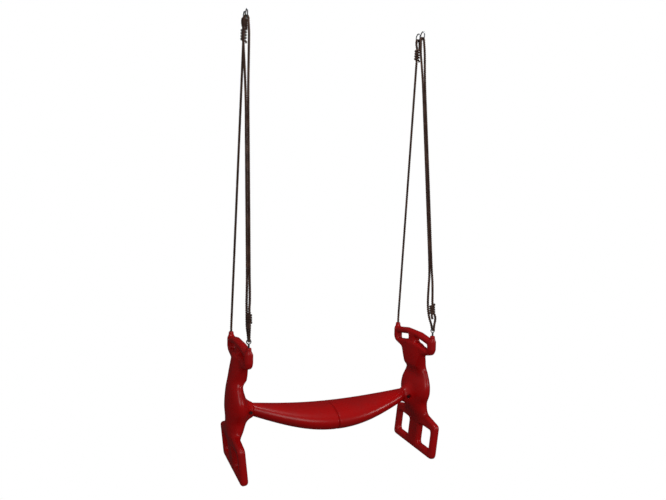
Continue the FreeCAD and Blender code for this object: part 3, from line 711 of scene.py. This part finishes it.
points, quads = skin_of(support_distance, SUPPORT_LOW, SUPPORT_HIGH, GRID)
print("support skin: %d quads" % len(quads))
supports = []
for side, word in SIDES:
    place = np.array([side * (points[:, 0] + SUPPORT_X), points[:, 1], points[:, 2] + HORN_Z])
    support = mesh_piece("end_support_%s_moulded" % word, place.T * MM, quads.tolist())
    fix_outward(support)
    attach(support, "glider")
    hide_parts("end_support_" + word)
    supports.append(support)


# %% [markdown]
# ## The seat
# The seat follows a rule, an oval that swells and drops towards the middle, so its rings of
# points come straight from that rule. A fullness of 2 would be a true ellipse, and a little
# more fills its shoulders. Each half ends in a sloping lip at the middle, and two lips make the
# groove across the seat. The outer end runs on as a round spigot inside the collar.

# %% The seat halves
SEAT_MID = (240, -311, -413)
SEAT_END = (67, -277, -332)
SEAM_GROOVE, SEAT_RINGS, SPIGOT_RADIUS, SPIGOT_END = 5, 110, 23, 395
SEAT_AROUND, SEAT_FULLNESS = 128, 2.06


def seat_section(x):
    """Width, top and bottom of the seat at a distance from its middle."""
    reach = (x - SEAM_GROOVE) / (COLLAR_FACE - SEAM_GROOVE)
    share = math.cos(math.pi / 2 * min(max(reach, 0), 1))
    return [end + (mid - end) * share for mid, end in zip(SEAT_MID, SEAT_END)]


def seat_ring(x, inset):
    width, top, bottom = seat_section(x)
    angle = np.arange(SEAT_AROUND) * 2 * math.pi / SEAT_AROUND
    c, s = np.cos(angle), np.sin(angle)
    power = 2 / SEAT_FULLNESS
    across = (width / 2 - inset) * np.sign(c) * np.abs(c) ** power
    up = ((top - bottom) / 2 - inset) * np.sign(s) * np.abs(s) ** power
    return np.stack([np.full(SEAT_AROUND, x), across, (top + bottom) / 2 + up], 1)


def seat_vertices():
    """The right half: its lip at the middle, the seat itself, and the spigot at its end."""
    rings = [seat_ring(0.0, SEAM_GROOVE), seat_ring(0.9, SEAM_GROOVE - 0.5)]
    rings += [seat_ring(x, SEAM_GROOVE - x) for x in (2, 3.2, 4.2)]
    rings.append(seat_ring(5.2, 0.18))
    rings += [seat_ring(x, 0) for x in np.linspace(6.5, COLLAR_FACE + 1, SEAT_RINGS)]
    angle = np.arange(SEAT_AROUND) * 2 * math.pi / SEAT_AROUND
    for x, radius in ((COLLAR_FACE + 3, SPIGOT_RADIUS), (SPIGOT_END - 3, SPIGOT_RADIUS),
                      (SPIGOT_END, SPIGOT_RADIUS - 3)):
        rings.append(np.stack([np.full(SEAT_AROUND, x), radius * np.cos(angle),
                               SEAT_AXIS_Z + radius * np.sin(angle)], 1))
    middles = [rings[0].mean(0), rings[-1].mean(0)]
    return np.concatenate(rings + [np.array(middles)]), len(rings)


seats = []
for side, word in SIDES:
    vertices, count = seat_vertices()
    vertices = vertices * (side, 1, 1) + (0, 0, HORN_Z)
    seat = mesh_piece("seat_half_%s_moulded" % word, vertices * MM,
                      ring_faces(count, SEAT_AROUND))
    fix_outward(seat)
    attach(seat, "glider")
    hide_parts("seat_half_" + word)
    seats.append(seat)
print("seat half: %d rings round %d points" % (count, SEAT_AROUND))


# %% [markdown]
# ## Finishes
# Handling leaves the same three traces on plastic and on zinc: cloudy patches, fine straight
# scratches, and a grain too small to see except in a highlight. One shader group makes them and
# each material uses it with its own scale. The group puts out only masks and a height, because
# an export can read those and not a whole shader inside a group.

# %% Shader helpers
def link(tree, output, target):
    tree.links.new(output, target)


def shader_math(tree, operation, a, b=0.0):
    made = tree.nodes.new("ShaderNodeMath")
    made.operation = operation
    for socket, value in zip(made.inputs, (a, b)):
        if isinstance(value, bpy.types.NodeSocket):
            tree.links.new(value, socket)
        else:
            socket.default_value = value
    return made.outputs[0]


def noise(tree, vector, scale, detail=3.0, roughness=0.5):
    made = tree.nodes.new("ShaderNodeTexNoise")
    tree.links.new(vector, made.inputs["Vector"])
    for label, value in (("Scale", scale), ("Detail", detail), ("Roughness", roughness)):
        if isinstance(value, bpy.types.NodeSocket):
            tree.links.new(value, made.inputs[label])
        else:
            made.inputs[label].default_value = value
    return made.outputs[0]


def spread(tree, value, low, high, to_low=0.0, to_high=1.0):
    made = tree.nodes.new("ShaderNodeMapRange")
    made.interpolation_type = "SMOOTHSTEP"
    tree.links.new(value, made.inputs[0])
    for socket, number in zip(list(made.inputs)[1:5], (low, high, to_low, to_high)):
        socket.default_value = number
    return made.outputs[0]


def mix_colours(tree, share, first, second):
    made = tree.nodes.new("ShaderNodeMix")
    made.data_type = "RGBA"
    for socket, value in ((made.inputs[0], share), (made.inputs[6], first),
                          (made.inputs[7], second)):
        if isinstance(value, bpy.types.NodeSocket):
            tree.links.new(value, socket)
        else:
            socket.default_value = value
    return made.outputs[2]


# %% The group of handling marks
def handling_marks():
    tree = bpy.data.node_groups.new("handling_marks", "ShaderNodeTree")
    for label, value in (("Patch Scale", 6.0), ("Scratch Scale", 60.0), ("Grain Scale", 900.0)):
        socket = tree.interface.new_socket(label, in_out="INPUT", socket_type="NodeSocketFloat")
        socket.default_value = value
    for label in ("Patches", "Scratches", "Grain"):
        tree.interface.new_socket(label, in_out="OUTPUT", socket_type="NodeSocketFloat")
    given = tree.nodes.new("NodeGroupInput")
    out = tree.nodes.new("NodeGroupOutput")
    place = tree.nodes.new("ShaderNodeTexCoord").outputs["Object"]
    patches = spread(tree, noise(tree, place, given.outputs[0], 4.0, 0.6), 0.35, 0.7)
    stretched = tree.nodes.new("ShaderNodeMapping")
    tree.links.new(place, stretched.inputs[0])
    stretched.inputs["Rotation"].default_value = (0.4, 0.2, 0.9)
    stretched.inputs["Scale"].default_value = (1.0, 14.0, 14.0)
    lines = spread(tree, noise(tree, stretched.outputs[0], given.outputs[1], 2.0), 0.68, 0.74)
    worn = shader_math(tree, "MULTIPLY", lines, patches)
    grain = noise(tree, place, given.outputs[2], 2.0)
    for value, socket in zip((patches, worn, grain), out.inputs):
        tree.links.new(value, socket)
    return tree


def new_finish(name, **constants):
    """A material with its Principled shader's constant sockets set by name."""
    material = finish_named(name)
    material.use_nodes = True
    shader = material.node_tree.nodes["Principled BSDF"]
    for label, value in constants.items():
        shader.inputs[label.replace("_", " ")].default_value = value
    return material, material.node_tree, shader


def place_group(tree, group, **values):
    made = tree.nodes.new("ShaderNodeGroup")
    made.node_tree = group
    for label, value in values.items():
        made.inputs[label.replace("_", " ")].default_value = value
    return made.outputs


def bump(tree, height, shader, strength, distance):
    made = tree.nodes.new("ShaderNodeBump")
    made.inputs["Strength"].default_value = strength
    made.inputs["Distance"].default_value = distance
    tree.links.new(height, made.inputs["Height"])
    tree.links.new(made.outputs[0], shader.inputs["Normal"])


marks = handling_marks()


# %% [markdown]
# ### Moulded plastic
# The plastic is polyethylene coloured deep red all through. It has a soft, slightly waxy gloss:
# blow moulding leaves a fine orange peel, and the gloss is uneven where hands and weather have
# been. Scratches in such plastic turn paler, because they scatter light.

# %% Red plastic
RED, RED_SHADE = (0.285, 0.0010, 0.0013, 1), (0.205, 0.0008, 0.0013, 1)
RED_PALE = (0.36, 0.018, 0.018, 1)


def red_plastic():
    material, tree, shader = new_finish("red_plastic", IOR=1.5, Specular_IOR_Level=0.25)
    patches, worn, grain = place_group(tree, marks, Patch_Scale=7.0, Scratch_Scale=26.0,
                                       Grain_Scale=420.0)
    colour = mix_colours(tree, shader_math(tree, "MULTIPLY", patches, 0.5), RED, RED_SHADE)
    colour = mix_colours(tree, shader_math(tree, "MULTIPLY", worn, 0.3), colour, RED_PALE)
    link(tree, colour, shader.inputs["Base Color"])
    rough = shader_math(tree, "MULTIPLY_ADD", patches, 0.10)
    rough.node.inputs[2].default_value = 0.27
    link(tree, shader_math(tree, "ADD", rough, shader_math(tree, "MULTIPLY", worn, 0.25)),
         shader.inputs["Roughness"])
    bump(tree, grain, shader, 0.10, 0.0005)
    return material


plastic = red_plastic()
for piece in supports + seats:
    piece.data.materials.append(plastic)


# %% [markdown]
# ### Brown rope
# Each strand of the rope is a bundle of yarns, and the yarns turn against the strands, so that
# on the rope's surface they run almost straight along it. The rope's own UV map holds the
# distance along it and round it, and a wave across that map draws the yarns. Old yarn is greyer
# in fine flecks, spread over broad faded patches.

# %% Rope finish
YARN, YARN_LIGHT = (0.060, 0.027, 0.018, 1), (0.150, 0.082, 0.058, 1)
# Painted shade: the darkest yarn colour stands for the shade in the grooves between the yarns.
YARN_GROOVE_SHADE = (0.014, 0.007, 0.006, 1)


def brown_rope():
    material, tree, shader = new_finish("brown_rope", Specular_IOR_Level=0.12,
                                        Sheen_Weight=0.04, Sheen_Roughness=0.5)
    around = tree.nodes.new("ShaderNodeUVMap")
    around.uv_map = "rope"
    turned = tree.nodes.new("ShaderNodeMapping")
    link(tree, around.outputs[0], turned.inputs[0])
    turned.inputs["Rotation"].default_value = (0, 0, math.radians(62))
    yarns = tree.nodes.new("ShaderNodeTexWave")
    link(tree, turned.outputs[0], yarns.inputs[0])
    yarns.inputs["Scale"].default_value = 260.0
    yarns.inputs["Distortion"].default_value = 1.2
    yarns.inputs["Detail"].default_value = 1.0
    place = tree.nodes.new("ShaderNodeTexCoord").outputs["Object"]
    fibre = noise(tree, place, 1500.0, 3.0, 0.6)
    fading = spread(tree, noise(tree, place, 24.0, 3.0), 0.4, 0.75)
    # Painted shade: the wave's low lines, where the bump below puts the grooves between yarns, take
    # the dark colour.
    colour = mix_colours(tree, yarns.outputs["Fac"], YARN_GROOVE_SHADE, YARN)
    light = shader_math(tree, "MULTIPLY", fibre, shader_math(tree, "MULTIPLY", fading, 0.8))
    link(tree, mix_colours(tree, light, colour, YARN_LIGHT), shader.inputs["Base Color"])
    link(tree, spread(tree, fibre, 0.2, 0.8, 0.68, 0.9), shader.inputs["Roughness"])
    bump(tree, shader_math(tree, "ADD", yarns.outputs["Fac"], shader_math(
        tree, "MULTIPLY", fibre, 0.5)), shader, 0.5, 0.0004)
    return material


rope_finish = brown_rope()
for piece in ropes:
    piece.data.materials.append(rope_finish)


# %% [markdown]
# ### Zinc
# The rings, eye bolts, bolts and washers are zinc plated. Fresh zinc is bright and bluish, and
# outdoors it dulls in patches. The same marks are used again, and a few cells of a crystal
# pattern show on the wire. The collar bolts sit deep in the red plastic, and their colour is
# painted dark and a little red: painted shade from their recess and a painted reflection of the
# red plastic round them. Their washers are red plastic. The tube inside the seat has a grey primer.

# %% Zinc and primer
def zinc(name, bright, dull, smooth, crystal_scale):
    material, tree, shader = new_finish(name, Metallic=1.0)
    patches, worn, grain = place_group(tree, marks, Patch_Scale=40.0, Scratch_Scale=120.0,
                                       Grain_Scale=2500.0)
    place = tree.nodes.new("ShaderNodeTexCoord").outputs["Object"]
    crystals = tree.nodes.new("ShaderNodeTexVoronoi")
    link(tree, place, crystals.inputs["Vector"])
    crystals.inputs["Scale"].default_value = crystal_scale
    crystal = tree.nodes.new("ShaderNodeSeparateColor")
    link(tree, crystals.outputs["Color"], crystal.inputs[0])
    share = shader_math(tree, "ADD", shader_math(tree, "MULTIPLY", patches, 0.7),
                        shader_math(tree, "MULTIPLY", crystal.outputs[0], 0.3))
    link(tree, mix_colours(tree, share, bright, dull), shader.inputs["Base Color"])
    rough = shader_math(tree, "MULTIPLY_ADD", share, 0.22)
    rough.node.inputs[2].default_value = smooth
    link(tree, shader_math(tree, "ADD", rough, shader_math(tree, "MULTIPLY", worn, 0.2)),
         shader.inputs["Roughness"])
    bump(tree, grain, shader, 0.15, 0.0002)
    return material


ring_finish = zinc("zinc_plated_wire", (0.30, 0.31, 0.33, 1), (0.12, 0.12, 0.13, 1), 0.26, 300.0)
bolt_finish = zinc("zinc_plated_bolts", (0.34, 0.34, 0.36, 1), (0.14, 0.14, 0.15, 1), 0.3, 500.0)
# Painted shade and painted reflection: the collar bolts and nuts are coloured dark and a little
# red, standing in for the shade of their recess and the red plastic mirrored in them.
recess_shaded_bolts = zinc("bolts_painted_recess_shade", (0.16, 0.05, 0.05, 1), (0.08, 0.025, 0.025, 1), 0.42, 500.0)
primer, primer_tree, primer_shader = new_finish("grey_primer", Roughness=0.6)
primer_patches = place_group(primer_tree, marks, Patch_Scale=20.0)[0]
link(primer_tree, mix_colours(primer_tree, primer_patches, (0.16, 0.16, 0.17, 1),
                              (0.11, 0.11, 0.115, 1)), primer_shader.inputs["Base Color"])
node_finish = {"seat_spine_tube": primer, "collar_washers": plastic, "collar_bolts": recess_shaded_bolts,
               "collar_nuts": recess_shaded_bolts}
for name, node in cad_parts.items():
    node.data.materials.clear()
    node.data.materials.append(node_finish.get(name, bolt_finish))


# %% [markdown]
# ## A plain studio
# The floor and the room are plain white where the camera sees them directly. Light that reaches
# the swing by way of a reflection comes from a darker room, as behind the lamps of a studio,
# so the red stays deep at its edges. A large soft lamp in front carries the picture, a small
# one on the right draws the columns' upright highlights, and a small one overhead draws the
# fine line along the seat. Standard colours keep white white and the red saturated.

# %% Floor, room and lamps
FLOOR_Z, FLOOR_SIZE, FLOOR_LIGHT = -2.25, 60, 0.25
ROOM_LIGHT, REFLECTED_ROOM, SEEN_WHITE = 0.55, 0.02, 1.0
bpy.context.scene.view_settings.view_transform = "Standard"


def by_ray(tree, lit, seen, reflected):
    """A strength that differs for light, for the camera and for reflections."""
    rays = tree.nodes.new("ShaderNodeLightPath")
    mirrored = shader_math(tree, "MULTIPLY_ADD", rays.outputs["Is Glossy Ray"], reflected - lit)
    mirrored.node.inputs[2].default_value = lit
    direct = shader_math(tree, "MULTIPLY_ADD", rays.outputs["Is Camera Ray"], seen - lit)
    link(tree, mirrored, direct.node.inputs[2])
    return direct


def floor_finish():
    """A pale floor: plain white to the camera, soft light to the swing, dim in reflections."""
    material = finish_named("pale_floor")
    material.use_nodes = True
    tree = material.node_tree
    tree.nodes.clear()
    white = tree.nodes.new("ShaderNodeEmission")
    link(tree, by_ray(tree, FLOOR_LIGHT, SEEN_WHITE, REFLECTED_ROOM), white.inputs["Strength"])
    out = tree.nodes.new("ShaderNodeOutputMaterial")
    link(tree, white.outputs[0], out.inputs["Surface"])
    return material


half = FLOOR_SIZE / 2
floor = mesh_piece("floor", [(-half, -half, FLOOR_Z), (half, -half, FLOOR_Z),
                             (half, half, FLOOR_Z), (-half, half, FLOOR_Z)], [(0, 1, 2, 3)])
floor.data.materials.append(floor_finish())

room = bpy.data.worlds.new("white_room")
bpy.context.scene.world = room
room.use_nodes = True
background = room.node_tree.nodes["Background"]
background.inputs["Color"].default_value = (1, 1, 1, 1)
link(room.node_tree, by_ray(room.node_tree, ROOM_LIGHT, SEEN_WHITE, REFLECTED_ROOM),
     background.inputs["Strength"])


def soft_lamp(name, place, target, size, power):
    data = bpy.data.lights.new(name, "AREA")
    data.size = size
    data.energy = power
    lamp = bpy.data.objects.new(name, data)
    turn = (Vector(target) - Vector(place)).to_track_quat("-Z", "Y")
    lamp.matrix_world = Matrix.Translation(place) @ turn.to_matrix().to_4x4()
    bpy.context.scene.collection.objects.link(lamp)
    return lamp


soft_lamp("key", (-0.6, -3.2, 0.1), (0, 0, -1.6), 1.8, 46)
soft_lamp("side", (2.6, -2.0, -0.6), (0.2, 0, -1.6), 0.55, 26)
soft_lamp("top", (-0.2, -0.1, 0.9), (0, 0, -1.6), 0.35, 22)
